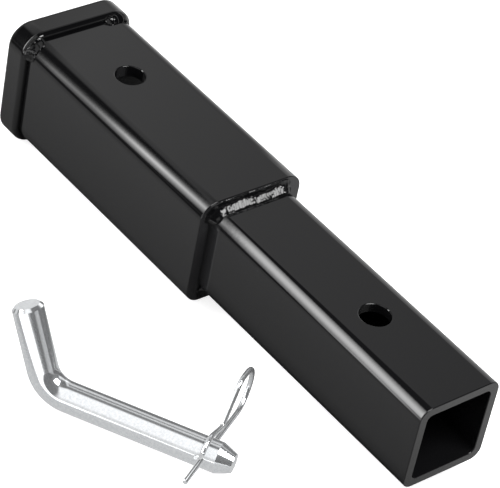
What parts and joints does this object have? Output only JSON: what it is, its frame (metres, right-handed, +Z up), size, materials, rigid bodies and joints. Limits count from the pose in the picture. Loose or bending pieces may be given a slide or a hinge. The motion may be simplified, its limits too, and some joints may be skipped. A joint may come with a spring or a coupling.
{
  "type": "hitch receiver extender",
  "caption": "Hitch receiver extender: a square shank welded into a larger receiver tube with a collared mouth, with its bent pin and spring clip lying beside it.",
  "frame": {"origin": "where the axis of the receiver tube's pin hole crosses the axis of the tubes", "axes": "+X runs along the tubes from the open mouth to the shank's free end, +Z is up along both pin holes, and the pin and its clip lie on the -Y side"},
  "size_m": [0.333, 0.1811, 0.0712],
  "materials": {
    "black_coat": "glossy black powder coat",
    "collar_coat": "glossy black powder coat",
    "weld_coat": "glossy black powder coat over a rippled weld bead",
    "pin_zinc": "bright zinc plating",
    "clip_zinc": "bright zinc plating on drawn spring wire"
  },
  "bodies": {
    "root": {"shank_tube": "black_coat", "receiver_tube": "black_coat", "reinforcing_collar": "collar_coat", "shank_weld_top": "weld_coat", "shank_weld_bottom": "weld_coat", "collar_weld_near": "weld_coat", "collar_weld_far": "weld_coat", "collar_weld_below": "weld_coat", "hitch_pin": "pin_zinc", "hitch_clip": "clip_zinc"}
  },
  "joints": []
}
